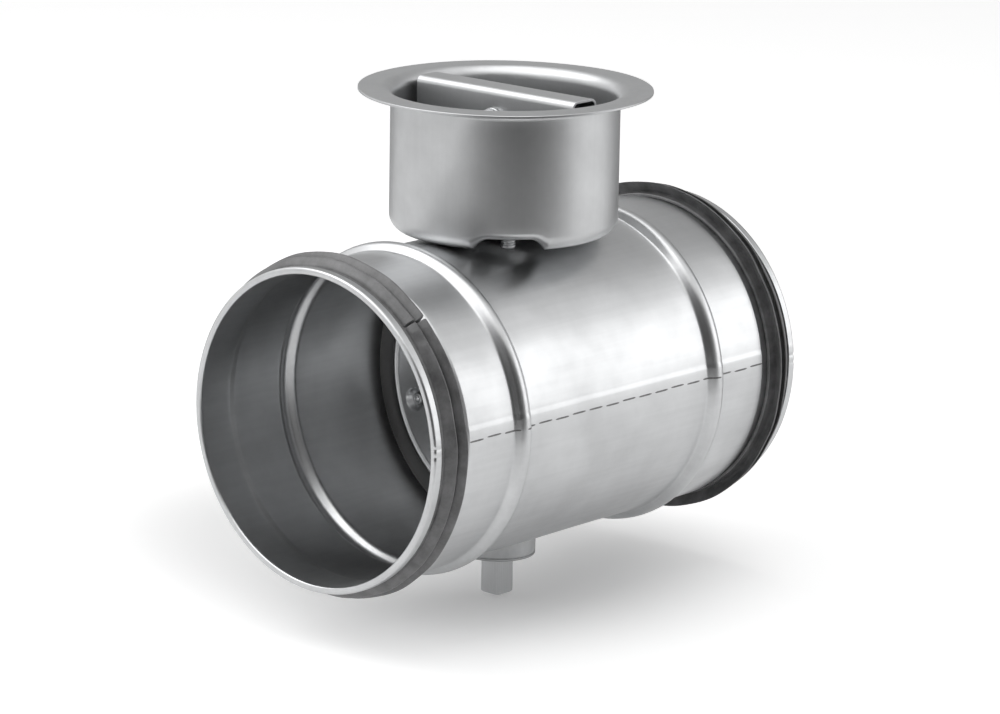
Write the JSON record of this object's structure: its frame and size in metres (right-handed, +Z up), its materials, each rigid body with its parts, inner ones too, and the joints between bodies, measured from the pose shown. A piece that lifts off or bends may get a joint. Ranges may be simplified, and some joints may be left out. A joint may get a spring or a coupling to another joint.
{
  "type": "duct damper",
  "caption": "Round duct damper with lip-gasketed spigots, a closing blade on a square shaft and a handle sunk in a flanged cup.",
  "frame": {"origin": "where the shaft's axis crosses the duct's axis, at the middle of the tube", "axes": "+X along the duct towards the outlet end, +Z up the shaft to the cup and handle, -Y the side of the tube's welded seam"},
  "size_m": [0.2124, 0.1334, 0.2032],
  "materials": {
    "galvanised_sheet": "satin galvanised",
    "drawn_steel": "satin, drawn",
    "bright_zinc": "bright zinc plated",
    "cast_zinc": "matt die cast",
    "gasket_rubber": "semi-matt",
    "black_nylon": "matt"
  },
  "bodies": {
    "duct_body": {"housing": "galvanised_sheet", "gasket_inlet": "gasket_rubber", "gasket_outlet": "gasket_rubber", "cup": "drawn_steel", "cup_rivet_1": "bright_zinc", "cup_rivet_2": "bright_zinc", "cup_rivet_3": "bright_zinc", "cup_rivet_4": "bright_zinc", "upper_bearing": "cast_zinc", "lower_bearing": "cast_zinc", "lock_nut": "bright_zinc", "lock_washer": "bright_zinc", "lock_screw": "bright_zinc"},
    "blade_body": {"shaft": "bright_zinc", "upper_sleeve": "black_nylon", "lower_sleeve": "black_nylon", "blade_seal": "gasket_rubber", "blade_disc_front": "galvanised_sheet", "blade_disc_rear": "galvanised_sheet", "blade_rivet_1": "bright_zinc", "blade_rivet_2": "bright_zinc", "blade_rivet_3": "bright_zinc", "blade_rivet_4": "bright_zinc", "blade_rivet_5": "bright_zinc", "blade_rivet_6": "bright_zinc", "blade_rivet_7": "bright_zinc", "blade_rivet_8": "bright_zinc", "blade_screw_1": "bright_zinc", "blade_screw_2": "bright_zinc", "blade_nut_1": "bright_zinc", "blade_nut_2": "bright_zinc", "lock_plate": "bright_zinc", "handle": "drawn_steel", "handle_screw": "bright_zinc", "handle_washer": "bright_zinc", "handle_nut": "bright_zinc"}
  },
  "joints": [
    {"name": "blade_turn", "type": "hinge", "parent": "duct_body", "child": "blade_body", "pos_m": [0, 0, 0], "axis": [0, 0, 1], "range_deg": [0, 90]}
  ]
}
